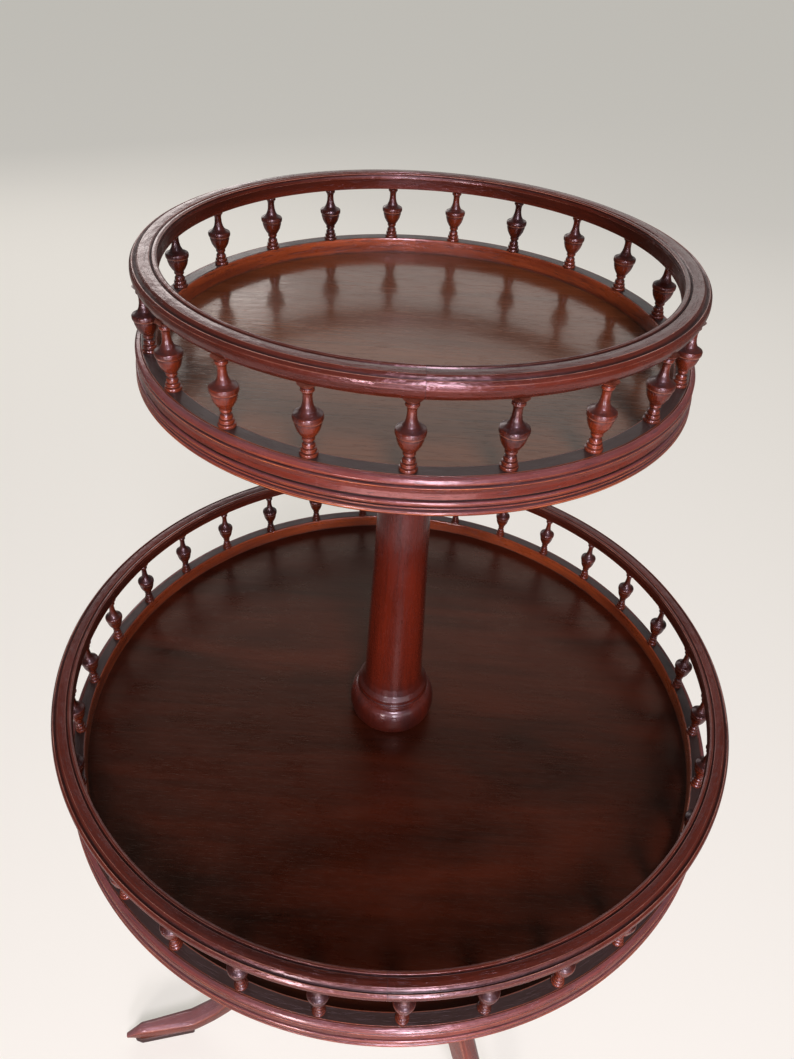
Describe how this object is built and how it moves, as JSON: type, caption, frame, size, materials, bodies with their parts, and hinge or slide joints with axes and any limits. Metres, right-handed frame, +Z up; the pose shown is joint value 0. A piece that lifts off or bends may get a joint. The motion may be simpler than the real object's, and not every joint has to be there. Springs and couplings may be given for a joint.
{
  "type": "tiered serving table",
  "caption": "Tiered serving table in turned hardwood: round galleried trays on a column, pedestal and tripod legs.",
  "frame": {"origin": "on the floor, on the axis of the column and both trays", "axes": "+Z up, -Y to the front, where the rail halves meet, +X to the right"},
  "size_m": [0.5938, 0.5953, 1.0277],
  "materials": {
    "rail_wood": "polished, worn",
    "spindle_wood": "polished",
    "ring_wood": "polished",
    "moulding_wood": "polished, worn",
    "board_wood": "high gloss",
    "column_wood": "polished",
    "leg_wood": "polished, worn",
    "pad_wood": "matt, scuffed",
    "cleat_wood": "unpolished",
    "brace_steel": "dull, oxidised",
    "screw_steel": "aged"
  },
  "bodies": {
    "root": {"brace_screws": "screw_steel", "column": "column_wood", "foot_pad_back": "pad_wood", "foot_pad_front_right": "pad_wood", "foot_pad_left": "pad_wood", "joining_stud": "cleat_wood", "leg_back": "leg_wood", "leg_brace": "brace_steel", "leg_front_right": "leg_wood", "leg_left": "leg_wood", "lower_base_ring": "ring_wood", "lower_cleat": "cleat_wood", "lower_cleat_screws": "screw_steel", "lower_edge_moulding": "moulding_wood", "lower_rail_left": "rail_wood", "lower_rail_right": "rail_wood", "lower_spindles_left": "spindle_wood", "lower_spindles_right": "spindle_wood", "lower_tray_board": "board_wood", "pedestal": "column_wood", "upper_base_ring": "ring_wood", "upper_cleat": "cleat_wood", "upper_cleat_screws": "screw_steel", "upper_edge_moulding": "moulding_wood", "upper_rail_left": "rail_wood", "upper_rail_right": "rail_wood", "upper_spindle_01": "spindle_wood", "upper_spindle_02": "spindle_wood", "upper_spindle_03": "spindle_wood", "upper_spindle_04": "spindle_wood", "upper_spindle_05": "spindle_wood", "upper_spindle_06": "spindle_wood", "upper_spindle_07": "spindle_wood", "upper_spindle_08": "spindle_wood", "upper_spindle_09": "spindle_wood", "upper_spindle_10": "spindle_wood", "upper_spindle_11": "spindle_wood", "upper_spindle_12": "spindle_wood", "upper_spindle_13": "spindle_wood", "upper_spindle_14": "spindle_wood", "upper_spindle_15": "spindle_wood", "upper_spindle_16": "spindle_wood", "upper_spindle_17": "spindle_wood", "upper_spindle_18": "spindle_wood", "upper_spindle_19": "spindle_wood", "upper_spindle_20": "spindle_wood", "upper_spindle_21": "spindle_wood", "upper_tray_board": "board_wood"}
  },
  "joints": []
}
